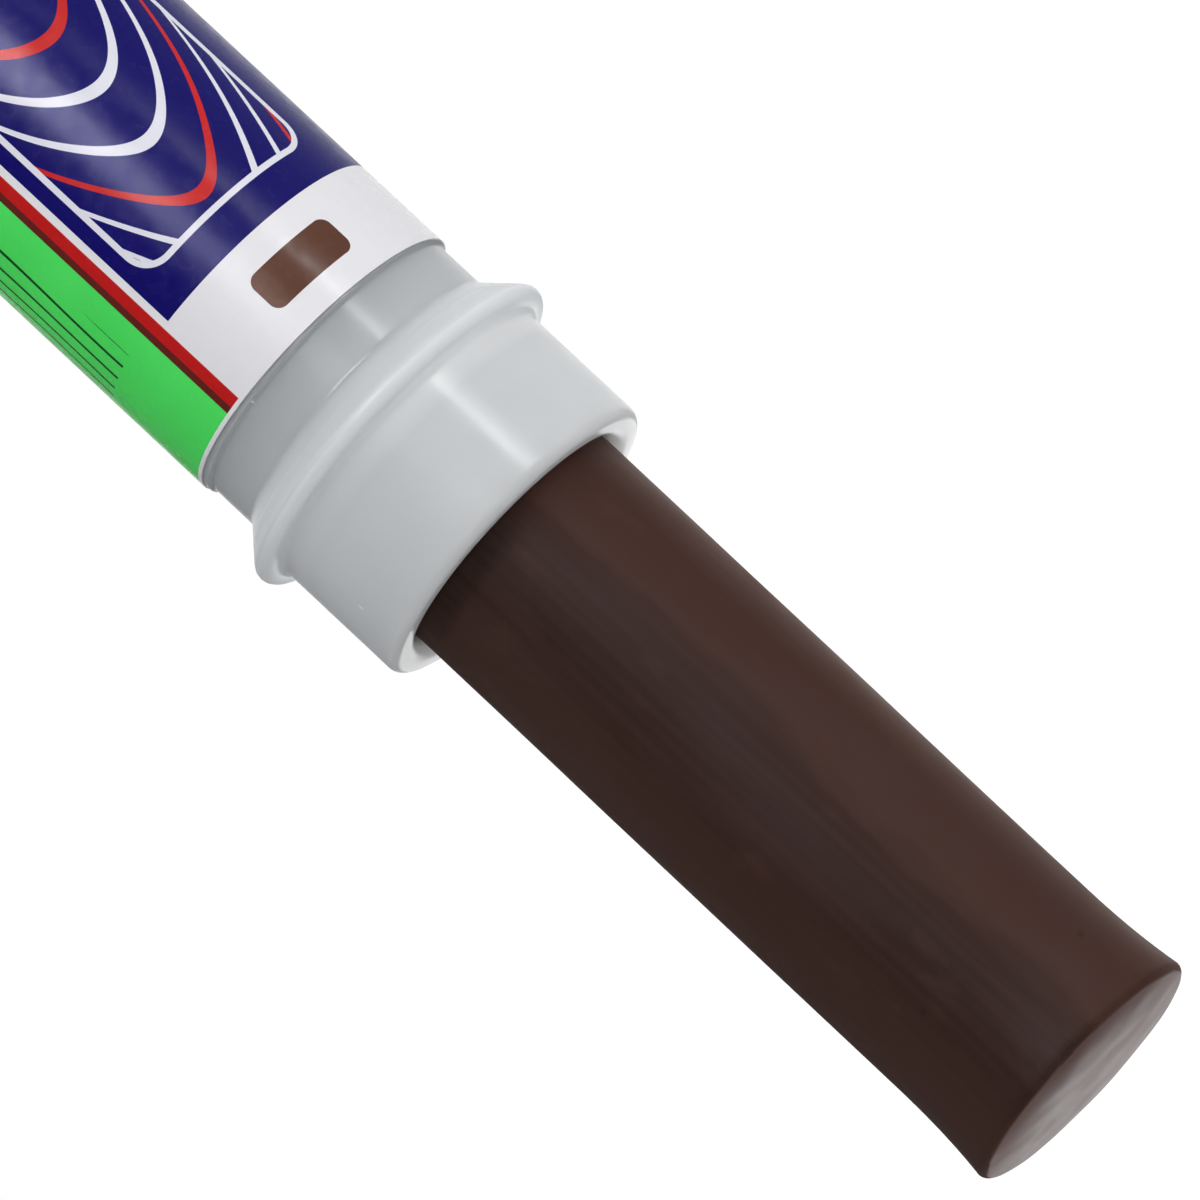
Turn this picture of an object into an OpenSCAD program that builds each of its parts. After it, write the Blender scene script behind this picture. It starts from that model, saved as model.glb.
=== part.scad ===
// Twist-up wax filler stick for furniture repair.
// A moulded barrel carries a wrap-round paper label. Inside it a carrier cup holds a cast wax stick.
// A knob at the barrel's foot turns a lead screw, and the screw winds the cup up and down.
// Millimetres, +Z along the barrel towards the wax tip, origin at the centre of the knob's foot.

/* [Wax stick] */
// Diameter of the wax stick
stick_d = 20; // [16:0.5:26]
// Length of wax that stands out of the barrel's mouth
stick_reach = 58; // [40:0.5:70]
// How far the mushroomed tip stands past the stick's side
tip_flare = 0.55; // [0.3:0.05:0.9]
// Length over which the tip widens
flare_l = 9; // [4:0.5:12]
// Rounding of the tip's rim
tip_edge = 0.7; // [0.2:0.1:0.8]
// Height of the crown on the tip face
tip_crown = 0.4; // [0.1:0.1:0.6]
// Length of tip that stays outside when the stick is wound right in
tip_stand = 6; // [5.5:0.1:9]

/* [Barrel] */
// Wall of the barrel under the label
barrel_wall = 1.1; // [1:0.02:2]
// Wall of the bare neck between the label and the flange
neck_wall = 0.85; // [0.7:0.01:0.95]
// Wall of the collar that takes a cap
collar_wall = 1.7; // [1.2:0.02:2.6]
// Length of the collar, from the flange to the mouth
collar_l = 11.4; // [8:0.1:16]
// How far the flange stands past the collar
flange_rise = 1.67; // [1:0.01:2.5]
// Rounding of the flange's crest
crest_r = 0.8; // [0.4:0.1:0.9]
// Angle of the flange's sloping back, from the barrel's axis
flange_slope = 41.5; // [35:0.5:55]
// Length of bare neck between the label and the flange
neck_l = 4.6; // [2:0.1:8]
// Radial gap between the wax and the barrel's mouth
mouth_gap = 0.2; // [0.15:0.05:0.45]
// Thickness of the lip inside the mouth
lip_t = 1.6; // [1:0.1:3]
// Thickness of the web across the barrel's foot
web_t = 2; // [1.5:0.1:3]
// Depth of the barrel's foot below the web
socket_l = 3.4; // [2.5:0.1:6]

/* [Label] */
// Thickness of the label
label_t = 0.13; // [0.08:0.01:0.25]
// Bare barrel left between the label and the barrel's foot
label_margin = 2; // [1:0.1:5]
// Width of the seam where the label overlaps itself
overlap_w = 4; // [2:0.5:8]

/* [Carrier] */
// Wall of the cup round the foot of the wax
cup_wall = 0.75; // [0.6:0.05:1.2]
// Depth of the cup
cup_h = 8; // [5:0.5:14]
// Thickness of the cup's floor
floor_t = 1.6; // [1.2:0.1:3]
// Length of the nut below the cup's floor
nut_l = 8; // [6:0.5:12]
// Wall of the nut outside the thread
nut_wall = 1.8; // [1.2:0.1:3]
// Length of the guide skirt below the cup's floor
skirt_l = 5; // [3:0.5:6]
// Height of the guide ribs inside the barrel
rib_h = 0.4; // [0.3:0.05:0.8]
// Width of the guide ribs
rib_w = 1.6; // [1:0.1:3]
// Number of guide ribs
rib_n = 3; // [2:1:6]

/* [Lead screw] */
// Outside diameter of the screw thread
thread_d = 6.2; // [5:0.1:8]
// Depth of the screw thread
thread_depth = 0.9; // [0.6:0.1:1.2]
// Rise of the stick for one turn of the knob
thread_lead = 6; // [4:0.5:9]
// Diameter of the journal in the barrel's web
journal_d = 6; // [5:0.1:7]
// Diameter of the thrust collar that rests on the web
thrust_d = 9; // [8:0.1:12]
// Thickness of the thrust collar
thrust_t = 1.4; // [1:0.1:2.5]
// Length of the hexagonal tail pressed into the knob
tail_l = 10; // [6:0.5:12]
// Lift that is left in the screw as the stick stands
lift_spare = 2; // [1:0.5:4]

/* [Knob] */
// Height of the knob below the barrel
knob_h = 12; // [11:0.5:18]
// Number of grip ribs round the knob
grip_n = 40; // [24:2:60]
// Depth of the grooves between the grip ribs
grip_depth = 0.5; // [0.3:0.1:0.8]
// Height of the plain rings above and below the grip ribs
ring_l = 1.6; // [1:0.1:3]
// Thickness of the knob's base
base_t = 1.8; // [1.5:0.1:2]
// Wall of the spigot that turns in the barrel's foot
spigot_wall = 1.3; // [0.8:0.1:2]
// Wall of the boss round the screw's tail
boss_wall = 2.2; // [1.5:0.1:3]
// Width of the ring that the knob stands on
foot_ring_w = 3.4; // [2:0.1:5]

/* [Clearances] */
// Gap between a sliding piece and its guide
slide_gap = 0.1; // [0.08:0.01:0.2]
// Gap round a piece that is cast or pressed into another
seat_gap = 0.05; // [0.03:0.01:0.1]
// Gap round the journal in the web
bearing_gap = 0.08; // [0.05:0.01:0.15]
// Gap between the screw thread and the nut
thread_gap = 0.25; // [0.2:0.01:0.35]
// End gap between turning and standing faces
run_gap = 0.3; // [0.2:0.05:0.5]
// Gap round the screw in the hollow of the wax
core_gap = 0.4; // [0.3:0.1:1]

/* [Hidden] */
$fn = 96;

// How far a cut runs past the solid that it cuts
overrun = 0.5;
// Straight pieces in a quarter of a rounded edge
arc_steps = 6;
// Chamfer on small moulded edges
small_edge = 0.3;
// Fillet at the root of the flange
root_r = 0.4;
// Rounding of the collar's front edge
rim_edge = 0.8;
// Rounding of the barrel's mouth, at most, as shares of the rim's width and of the lip's thickness
mouth_share = 0.46;
lip_share = 0.8;
// Bare barrel between the label's end and the neck
shoulder_l = 0.3;
// Height of the bead that grips the wax, and its share of the cup's depth
bead_h = 0.35;
bead_share = 0.75;
// Chamfer at the foot of the wax
foot_edge = 0.5;
// How fast the tip widens, and the straight pieces in its curves
flare_power = 2.3;
tip_steps = 10;
// Depth of the hollow under the knob
recess_d = 0.6;
// Height left under the carrier when the stick is wound right in
park_gap = 0.6;
// Points round the thread's outline, and steps in one turn of it
thread_points = 16;
turn_steps = 14;
// Lead-in cone at the top of the screw, and the share of the thread's root that it narrows to
nose_l = 1.2;
nose_share = 0.6;
// Clear depth past the screw at the top of the hollow in the wax
core_spare = 2;
// Where the label's overlap lies, round the barrel
seam_angle = 90;
// Outline of one grip rib: places round its share of the knob, and heights as shares of the depth;
// its foot is sunk into the knob
grip_place_shares = [0, 0.2, 0.5, 0.7];
grip_height_shares = [-0.5, 0.8, 0.8, -0.5];

// Radii, from the wax outwards
stick_r = stick_d / 2;
cup_in_r = stick_r + seat_gap;
cup_out_r = cup_in_r + cup_wall;
rib_r = cup_out_r + slide_gap;
bore_r = rib_r + rib_h;
plate_r = bore_r - slide_gap;
mouth_r = stick_r + mouth_gap;
neck_r = bore_r + neck_wall;
barrel_r = bore_r + barrel_wall;
collar_r = bore_r + collar_wall;
flange_r = collar_r + flange_rise;
mouth_edge = min(mouth_share * (collar_r - mouth_r), lip_share * lip_t);
label_in_r = barrel_r + seat_gap / 2;

// Radii of the screw and the knob
thread_r = thread_d / 2;
root_thread_r = thread_r - thread_depth;
core_r = thread_r + core_gap;
nut_r = thread_r + thread_gap + nut_wall;
journal_r = journal_d / 2;
web_hole_r = journal_r + bearing_gap;
tail_r = journal_r - small_edge;
boss_r = tail_r + seat_gap + boss_wall;
knob_r = barrel_r;
grip_root_r = knob_r - grip_depth;
spigot_r = bore_r - slide_gap;
spigot_in_r = spigot_r - spigot_wall;

// Heights, from the foot upwards
foot_z = knob_h + run_gap;
web_z = foot_z + socket_l;
web_top = web_z + web_t;
boss_top = web_z - run_gap;
thrust_z = web_top + bearing_gap;
thread_z = thrust_z + thrust_t;
retract_l = stick_reach - tip_stand;
seat_z = thread_z + park_gap + nut_l + floor_t + retract_l;
lip_z = seat_z + cup_h + lift_spare + run_gap;
rim_z = lip_z + lip_t;
collar_z = rim_z - collar_l;
crest_z = collar_z - crest_r;
slope_top = [flange_r - crest_r + crest_r * cos(flange_slope), crest_z - crest_r * sin(flange_slope)];
flange_z = slope_top[1] - (slope_top[0] - neck_r) / tan(flange_slope);
label_top = flange_z - neck_l;
label_foot = foot_z + label_margin;
label_l = label_top - label_foot;
stick_l = rim_z - seat_z + stick_reach;
core_l = retract_l + nose_l + core_spare;

// Points of an arc, given as [radius, height] pairs
function arc(centre, r, start, end) =
    [for (i = [0:arc_steps]) let (a = start + (end - start) * i / arc_steps)
        centre + r * [cos(a), sin(a)]];

// The flange: a sloping back, a rounded crest, a square front and a filleted root
flange_outline = concat(
    [[neck_r, flange_z]],
    arc([flange_r - crest_r, crest_z], crest_r, -flange_slope, 90),
    arc([collar_r + root_r, collar_z + root_r], root_r, 270, 180)
);

// The mouth: a rim that is rounded outside and inside, and the lip that traps the cup
mouth_outline = concat(
    arc([collar_r - rim_edge, rim_z - rim_edge], rim_edge, 0, 90),
    arc([mouth_r + mouth_edge, rim_z - mouth_edge], mouth_edge, 90, 180),
    [[mouth_r, lip_z], [bore_r, lip_z]]
);

barrel_outline = concat(
    [[web_hole_r, web_z], [bore_r, web_z], [bore_r, foot_z]],
    [[barrel_r - small_edge, foot_z], [barrel_r, foot_z + small_edge]],
    [[barrel_r, label_top + shoulder_l], [neck_r, label_top + shoulder_l + barrel_r - neck_r]],
    flange_outline,
    mouth_outline,
    [[bore_r, web_top], [web_hole_r, web_top]]
);

module guide_ribs() {
    for (i = [0:rib_n - 1])
        rotate(360 * i / rib_n)
            translate([rib_r, -rib_w / 2, web_top])
                cube([rib_h + neck_wall / 2, rib_w, lip_z - web_top]);
}

module barrel() {
    color([0.80, 0.82, 0.83])
    union() {
        rotate_extrude() polygon(barrel_outline);
        guide_ribs();
    }
}

// One turn of paper with its end lapped over its start
module label() {
    color([0.10, 0.08, 0.42])
    translate([0, 0, label_foot])
    linear_extrude(label_l)
    difference() {
        union() {
            circle(r = label_in_r + label_t);
            rotate(seam_angle) intersection() {
                circle(r = label_in_r + 2 * label_t);
                translate([0, -overlap_w / 2]) square([flange_r, overlap_w]);
            }
        }
        circle(r = label_in_r);
    }
}

// The tip: a side that widens like a pressed crayon, a rounded rim and a crowned face
tip_face = stick_l - tip_crown;
rim_r = stick_r + tip_flare - tip_edge;
tip_outline = concat(
    [for (i = [0:tip_steps]) let (t = i / tip_steps)
        [stick_r + tip_flare * pow(t, flare_power), tip_face - tip_edge - flare_l * (1 - t)]],
    arc([rim_r, tip_face - tip_edge], tip_edge, 0, 90),
    [for (i = [1:tip_steps]) let (t = i / tip_steps)
        [rim_r * (1 - t), tip_face + tip_crown * (1 - pow(1 - t, 2))]]
);

bead_z = cup_h * bead_share;
stick_outline = concat(
    [[core_r, 0], [stick_r - foot_edge, 0], [stick_r, foot_edge]],
    [[stick_r, bead_z - bead_h], [stick_r - bead_h, bead_z], [stick_r, bead_z + bead_h]],
    tip_outline,
    [[0, core_l], [core_r, core_l]]
);

module wax_stick() {
    color([0.24, 0.16, 0.14])
    translate([0, 0, seat_z])
        rotate_extrude() polygon(stick_outline);
}

// A rounded two-start thread: two lobes that turn with height, left-handed so that turning the
// knob clockwise, seen from below, raises the stick
function thread_outline(gap) =
    [for (i = [0:thread_points - 1]) let (a = 360 * i / thread_points)
        (thread_r - thread_depth / 2 * (1 - cos(2 * a)) + gap) * [cos(a), sin(a)]];

// A stretch of thread between two heights, in phase with the screw
module thread(from_z, to_z, gap = 0) {
    turns = (to_z - from_z) / thread_lead;
    translate([0, 0, from_z])
    rotate(-360 * (from_z - thread_z) / thread_lead)
    linear_extrude(height = to_z - from_z, twist = 360 * turns, slices = ceil(turns * turn_steps),
        $fn = thread_points)
        polygon(thread_outline(gap));
}

nut_foot = -floor_t - nut_l;
skirt_foot = -floor_t - skirt_l;
skirt_in_r = cup_out_r - cup_wall;
carrier_outline = [
    [0, nut_foot], [nut_r, nut_foot], [nut_r, -floor_t],
    [skirt_in_r, -floor_t], [skirt_in_r, skirt_foot], [plate_r, skirt_foot],
    [plate_r, 0], [cup_out_r, 0], [cup_out_r, cup_h], [cup_in_r, cup_h],
    [cup_in_r, bead_z + bead_h], [cup_in_r - bead_h, bead_z], [cup_in_r, bead_z - bead_h],
    [cup_in_r, 0], [0, 0]
];

// Notches that run on the barrel's guide ribs
module rib_notches() {
    notch_w = rib_w + 2 * slide_gap;
    for (i = [0:rib_n - 1])
        rotate(360 * i / rib_n)
            translate([cup_out_r, -notch_w / 2, skirt_foot - overrun])
                cube([plate_r - cup_out_r + overrun, notch_w, -skirt_foot + 2 * overrun]);
}

module carrier() {
    color([0.93, 0.93, 0.91])
    difference() {
        translate([0, 0, seat_z]) difference() {
            rotate_extrude() polygon(carrier_outline);
            rib_notches();
        }
        thread(seat_z + nut_foot - overrun, seat_z + overrun, thread_gap);
    }
}

module lead_screw() {
    color([0.93, 0.93, 0.91])
    union() {
        thread(thread_z, seat_z);
        translate([0, 0, seat_z]) cylinder(h = nose_l, r1 = root_thread_r, r2 = root_thread_r * nose_share);
        translate([0, 0, thrust_z]) cylinder(h = thrust_t, d = thrust_d);
        translate([0, 0, boss_top]) cylinder(h = thrust_z - boss_top, d = journal_d);
        translate([0, 0, boss_top - tail_l]) cylinder(h = tail_l, r = tail_r, $fn = 6);
    }
}

recess_r = knob_r - foot_ring_w;
knob_outline = [
    [0, recess_d], [recess_r, recess_d], [recess_r + recess_d, 0],
    [knob_r - small_edge, 0], [knob_r, small_edge], [knob_r, ring_l],
    [grip_root_r, ring_l], [grip_root_r, knob_h - ring_l],
    [knob_r, knob_h - ring_l], [knob_r, knob_h - small_edge], [knob_r - small_edge, knob_h],
    [spigot_r, knob_h], [spigot_r, boss_top - small_edge], [spigot_r - small_edge, boss_top],
    [spigot_in_r, boss_top], [spigot_in_r, base_t + recess_d],
    [boss_r, base_t + recess_d], [boss_r, boss_top], [0, boss_top]
];

// Ribbed outline of the knob's grip
function grip_outline() =
    [for (i = [0:grip_n - 1], k = [0:len(grip_place_shares) - 1])
        let (a = 360 * (i + grip_place_shares[k]) / grip_n)
        (grip_root_r + grip_depth * grip_height_shares[k]) * [cos(a), sin(a)]];

module grip_ribs() {
    translate([0, 0, ring_l])
    linear_extrude(knob_h - 2 * ring_l)
    difference() {
        polygon(grip_outline());
        circle(r = grip_root_r - 2 * grip_depth);
    }
}

module twist_knob() {
    color([0.80, 0.82, 0.83])
    difference() {
        union() {
            rotate_extrude() polygon(knob_outline);
            grip_ribs();
        }
        translate([0, 0, boss_top - tail_l - run_gap])
            cylinder(h = tail_l + run_gap + overrun, r = tail_r + seat_gap, $fn = 6);
    }
}

barrel();
label();
wax_stick();
carrier();
lead_screw();
twist_knob();
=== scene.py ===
# %% [markdown]
# # A twist-up wax stick for repairing furniture
# A grey-white plastic barrel carries a printed label, and a stick of brown filler wax is wound out of
# its mouth. The CAD frame already holds six plain solids in the right places. This lesson dresses them:
# the barrel, label, wax and knob get finer meshes, and the hidden cup and screw keep their solids.

# %% Open the frame
import math

import bpy
import numpy as np
from mathutils import Matrix, Vector, noise


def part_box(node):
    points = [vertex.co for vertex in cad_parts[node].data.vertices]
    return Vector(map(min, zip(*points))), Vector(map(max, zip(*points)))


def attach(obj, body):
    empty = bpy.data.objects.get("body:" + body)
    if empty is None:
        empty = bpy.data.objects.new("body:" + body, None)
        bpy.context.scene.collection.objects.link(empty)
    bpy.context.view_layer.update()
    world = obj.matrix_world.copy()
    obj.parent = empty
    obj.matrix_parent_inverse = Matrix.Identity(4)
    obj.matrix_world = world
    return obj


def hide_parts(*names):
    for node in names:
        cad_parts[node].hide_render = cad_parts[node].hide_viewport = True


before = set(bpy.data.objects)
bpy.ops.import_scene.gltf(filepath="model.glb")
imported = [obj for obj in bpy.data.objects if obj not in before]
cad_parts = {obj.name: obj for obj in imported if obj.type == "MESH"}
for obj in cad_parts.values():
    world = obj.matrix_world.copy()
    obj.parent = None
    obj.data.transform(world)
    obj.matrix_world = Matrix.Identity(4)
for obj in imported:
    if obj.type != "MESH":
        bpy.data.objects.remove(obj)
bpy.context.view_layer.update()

MM = 0.001
foot_z, rim_z = (corner.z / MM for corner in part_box("barrel"))
label_foot, label_top = (corner.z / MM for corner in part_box("label"))

# %% [markdown]
# ## Helpers for nodes and objects
# Geometry trees and materials are both made of nodes. Building them by hand takes three lines a node:
# make it, set it, wire it. One small helper does all three, so that each tree reads as a list of steps.
# An object, too, takes two steps, since a new one shows only once it is linked to the scene.

# %% One call adds and wires a node
def add_node(tree, kind, plugs=None, **settings):
    """Adds a node. Plugs gives its inputs, by name or number, as a value or as a socket to wire in."""
    node = tree.nodes.new(kind)
    for key, value in settings.items():
        setattr(node, key, value)
    for key, value in (plugs or {}).items():
        if isinstance(value, bpy.types.NodeSocket):
            tree.links.new(value, node.inputs[key])
        else:
            node.inputs[key].default_value = value
    return node


def maths(tree, how, *values):
    """The result of one Math node, such as ADD or LESS_THAN."""
    return add_node(tree, "ShaderNodeMath", dict(enumerate(values)), operation=how).outputs[0]


def times(tree, one, other):
    """The product of two values, which also serves as an AND of two shares."""
    return maths(tree, "MULTIPLY", one, other)


def new_object(name, data):
    """An object for a mesh, a light or a camera, linked to the scene."""
    thing = bpy.data.objects.new(name, data)
    bpy.context.scene.collection.objects.link(thing)
    return thing


def mesh_object(name, verts, faces):
    mesh = bpy.data.meshes.new(name)
    mesh.from_pydata(verts, [], faces)
    return new_object(name, mesh)


print("helpers ready")

# %% [markdown]
# ## Turned outlines
# Barrel, knob and wax are all round, as if turned on a lathe. Each starts as half of its cross-section:
# a list of corners, given as radius, height and rounding in mm. A moulded corner is never quite sharp,
# and it is the small rounding that catches the light, so every corner gets an arc. Short extra points
# beside each arc keep the smooth shading of the arc from spreading over the flat next to it.

# %% Corners become a line of points
ARC_STEPS = 6
HOLD = 0.08
LONGEST_STEP = 2.5


def rounded_corner(before, corner, after, rounding):
    """The points that replace one corner: a hold point, an arc and another hold point."""
    to_before, to_after = before - corner, after - corner
    to_before = to_before / np.linalg.norm(to_before)
    to_after = to_after / np.linalg.norm(to_after)
    half = math.acos(np.clip(to_before @ to_after, -1, 1)) / 2
    reach = rounding / math.tan(half)
    middle = to_before + to_after
    centre = corner + middle / np.linalg.norm(middle) * rounding / math.sin(half)
    start, end = corner + to_before * reach, corner + to_after * reach
    first = math.atan2(*(start - centre)[::-1])
    turn = (math.atan2(*(end - centre)[::-1]) - first + math.pi) % (2 * math.pi) - math.pi
    angles = first + turn * np.linspace(0, 1, ARC_STEPS + 1)
    arc = [centre + rounding * np.array((math.cos(a), math.sin(a))) for a in angles]
    return [start + to_before * HOLD, *arc, end + to_after * HOLD]


def filled_in(points):
    """Adds points on long straight runs, so that no step is longer than LONGEST_STEP."""
    line = [points[0]]
    for a, b in zip(points, points[1:]):
        steps = max(1, math.ceil(np.linalg.norm(b - a) / LONGEST_STEP))
        line += [a + (b - a) * k / steps for k in range(1, steps + 1)]
    return line


def turned_outline(corners, closed):
    """Points in mm along a half cross-section, walked with the solid on the left."""
    spots = [np.array(c[:2], float) for c in corners]
    line = []
    for k, (_, _, rounding) in enumerate(corners):
        at_end = not closed and k in (0, len(corners) - 1)
        if rounding == 0 or at_end:
            line.append(spots[k])
        else:
            line += rounded_corner(spots[k - 1], spots[k], spots[(k + 1) % len(spots)], rounding)
    if closed:
        line.append(line[0])
    return filled_in(line)


def outline_object(name, points):
    """A helper object with one vertex for each point, in metres, for a tree to read."""
    return mesh_object(name, [(r * MM, 0, z * MM) for r, z in points], [])


print("outline tools ready")

# %% [markdown]
# ## A lathe made of Geometry Nodes
# A modifier called Screw can turn an outline too, but a node tree can do more in one pass: it turns the
# outline, lets the surface wander a little as moulded plastic does, and sets a ring of ribs round the
# axis. The barrel needs three guide ribs inside, and the knob forty grip ribs outside, so one tree with
# named inputs serves both. It ends in Realize Instances and Set Material, so the ribs are real mesh.

# %% The lathe tree
FULL_TURN = 2 * math.pi
SAME_SPOT = 1e-7


def lathe_tree():
    tree = bpy.data.node_groups.new("lathe_with_ribs", "GeometryNodeTree")
    for label, kind in (("Outline", "Object"), ("Steps Around", "Int"), ("Wander", "Float"),
                        ("Wander Scale", "Float"), ("Seed", "Float"), ("Rib", "Object"),
                        ("Rib Count", "Int"), ("Rib Radius", "Float"), ("Finish", "Material")):
        tree.interface.new_socket(label, in_out="INPUT", socket_type="NodeSocket" + kind)
    tree.interface.new_socket("Piece", in_out="OUTPUT", socket_type="NodeSocketGeometry")
    given = tree.nodes.new("NodeGroupInput").outputs
    place = tree.nodes.new("GeometryNodeInputPosition").outputs[0]

    # a flat grid: one column for each step round the axis, one row for each point of the outline
    outline = add_node(tree, "GeometryNodeObjectInfo", {"Object": given["Outline"]}).outputs["Geometry"]
    rows = add_node(tree, "GeometryNodeAttributeDomainSize", {0: outline}).outputs["Point Count"]
    columns = maths(tree, "ADD", given["Steps Around"], 1)
    grid = add_node(tree, "GeometryNodeMeshGrid", {
        "Size X": 1.0, "Size Y": 1.0, "Vertices X": columns, "Vertices Y": rows}).outputs["Mesh"]

    # each grid point takes the radius and height of its row, and the angle of its column
    spot = add_node(tree, "ShaderNodeSeparateXYZ", {0: place}).outputs
    share = maths(tree, "ADD", spot["Y"], 0.5)
    row = maths(tree, "ROUND", times(tree, share, maths(tree, "SUBTRACT", rows, 1)))
    point = add_node(tree, "GeometryNodeSampleIndex", {
        "Geometry": outline, "Value": place, "Index": row}, data_type="FLOAT_VECTOR")
    point = add_node(tree, "ShaderNodeSeparateXYZ", {0: point.outputs["Value"]}).outputs
    angle = maths(tree, "MULTIPLY_ADD", spot["X"], FULL_TURN, math.pi)
    turned = add_node(tree, "ShaderNodeCombineXYZ", {
        "X": times(tree, point["X"], maths(tree, "COSINE", angle)),
        "Y": times(tree, point["X"], maths(tree, "SINE", angle)),
        "Z": point["Z"]}).outputs[0]
    shell = add_node(tree, "GeometryNodeSetPosition", {"Geometry": grid, "Position": turned}).outputs[0]
    shell = add_node(tree, "GeometryNodeMergeByDistance", {
        "Geometry": shell, "Distance": SAME_SPOT}).outputs[0]

    # the surface wanders in and out by a few hundredths of a millimetre
    drift = add_node(tree, "ShaderNodeTexNoise", {
        "Vector": place, "W": given["Seed"], "Scale": given["Wander Scale"], "Detail": 2.0},
        noise_dimensions="4D").outputs[0]
    drift = times(tree, maths(tree, "SUBTRACT", drift, 0.5), given["Wander"])
    normal = tree.nodes.new("GeometryNodeInputNormal").outputs[0]
    offset = add_node(tree, "ShaderNodeVectorMath", {0: normal, "Scale": drift}, operation="SCALE")
    shell = add_node(tree, "GeometryNodeSetPosition", {
        "Geometry": shell, "Offset": offset.outputs[0]}).outputs[0]

    # the ribs stand on the points of a circle, each turned to face outwards
    ring = add_node(tree, "GeometryNodeMeshCircle", {
        "Vertices": given["Rib Count"], "Radius": given["Rib Radius"]}).outputs[0]
    rib = add_node(tree, "GeometryNodeObjectInfo", {"Object": given["Rib"]}).outputs["Geometry"]
    number = tree.nodes.new("GeometryNodeInputIndex").outputs[0]
    facing = times(tree, number, maths(tree, "DIVIDE", FULL_TURN, given["Rib Count"]))
    facing = add_node(tree, "ShaderNodeCombineXYZ", {"Z": facing}).outputs[0]
    facing = add_node(tree, "FunctionNodeEulerToRotation", {0: facing}).outputs[0]
    ribs = add_node(tree, "GeometryNodeInstanceOnPoints", {
        "Points": ring, "Instance": rib, "Rotation": facing}).outputs[0]

    both = tree.nodes.new("GeometryNodeJoinGeometry")
    tree.links.new(shell, both.inputs[0])
    tree.links.new(ribs, both.inputs[0])
    real = add_node(tree, "GeometryNodeRealizeInstances", {0: both.outputs[0]}).outputs[0]
    smooth = add_node(tree, "GeometryNodeSetShadeSmooth", {0: real}).outputs[0]
    done = add_node(tree, "GeometryNodeSetMaterial", {0: smooth, "Material": given["Finish"]}).outputs[0]
    add_node(tree, "NodeGroupOutput", {0: done})
    return tree


lathe = lathe_tree()
print("lathe tree:", len(lathe.nodes), "nodes")

# %% [markdown]
# ## From tree to plain mesh
# A modifier's result exists only while Blender evaluates the object. The inputs are set by their
# identifiers, the evaluated object is copied into a mesh of its own, and the modifier goes. The volume
# is printed as a check: it is below zero when a shape is inside out.

# %% From tree to plain mesh
EDGE_ANGLE = math.radians(40)
WANDER_SEED = 7.0
CM3_PER_M3 = 1e6


def volume_cm3(mesh):
    """The volume inside a closed mesh; below zero if its faces point inwards."""
    mesh.calc_loop_triangles()
    spots = np.array([v.co for v in mesh.vertices])
    a, b, c = (spots[[t.vertices[k] for t in mesh.loop_triangles]] for k in range(3))
    # each triangle spans a pyramid with the origin, and its triple product is six times the volume
    sixfold = np.einsum("ij,ij->i", a, np.cross(b, c)).sum()
    return float(sixfold / 6 * CM3_PER_M3)


def turned_piece(name, points, finish, steps, wander, scale, rib=None, rib_count=3, rib_radius=0.0):
    """Runs the lathe tree on an outline and keeps the result as a plain mesh.
    Wander is in mm, and scale is in cells per metre."""
    helper = outline_object(name + "_outline", points)
    piece = new_object(name, bpy.data.meshes.new(name))
    modifier = piece.modifiers.new("lathe", "NODES")
    modifier.node_group = lathe
    wanted = {"Outline": helper, "Steps Around": steps, "Wander": wander * MM, "Wander Scale": scale,
              "Seed": WANDER_SEED, "Rib": rib, "Rib Count": rib_count, "Rib Radius": rib_radius * MM,
              "Finish": finish}
    for item in lathe.interface.items_tree:
        if item.in_out == "INPUT" and wanted[item.name] is not None:
            modifier[item.identifier] = wanted[item.name]
    seen = piece.evaluated_get(bpy.context.evaluated_depsgraph_get())
    mesh = bpy.data.meshes.new_from_object(seen)
    piece.modifiers.clear()
    piece.data = mesh
    mesh.name = name
    mesh.materials.clear()
    mesh.materials.append(finish)
    mesh.set_sharp_from_angle(angle=EDGE_ANGLE)
    for spare in (helper, rib):
        if spare is not None:
            bpy.data.objects.remove(spare)
    print(f"{name}: {len(mesh.polygons)} faces, {volume_cm3(mesh):.2f} cm3")
    return piece


print("lathe ready")

# %% [markdown]
# ## Finishes
# Every finish is made of nodes that read Object coordinates, so that it holds still on its piece. First
# come the helpers: for a screen colour as the linear values that Blender mixes with, a new material, a
# mix of two colours, a noise, a range, the distance from the axis, scattered marks and a bump. Sizes in
# these trees are in cells per metre: a noise with a scale of 1000 has blobs about a millimetre across.

# %% Helpers for finishes
def ink(red, green, blue):
    """A screen colour from 0 to 255 as linear values."""
    def linear(value):
        value /= 255
        return value / 12.92 if value <= 0.04045 else ((value + 0.055) / 1.055) ** 2.4
    return (linear(red), linear(green), linear(blue), 1.0)


def new_finish(name, roughness, specular):
    """A new material, its node tree and its shader."""
    finish = bpy.data.materials.new(name)
    finish.use_nodes = True
    shader = finish.node_tree.nodes["Principled BSDF"]
    shader.inputs["Roughness"].default_value = roughness
    shader.inputs["Specular IOR Level"].default_value = specular
    return finish, finish.node_tree, shader


def mixed(tree, share, under, over):
    """A colour that goes from under to over as share goes from 0 to 1."""
    node = add_node(tree, "ShaderNodeMix", {0: share, 6: under, 7: over}, data_type="RGBA")
    return node.outputs[2]


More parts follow.
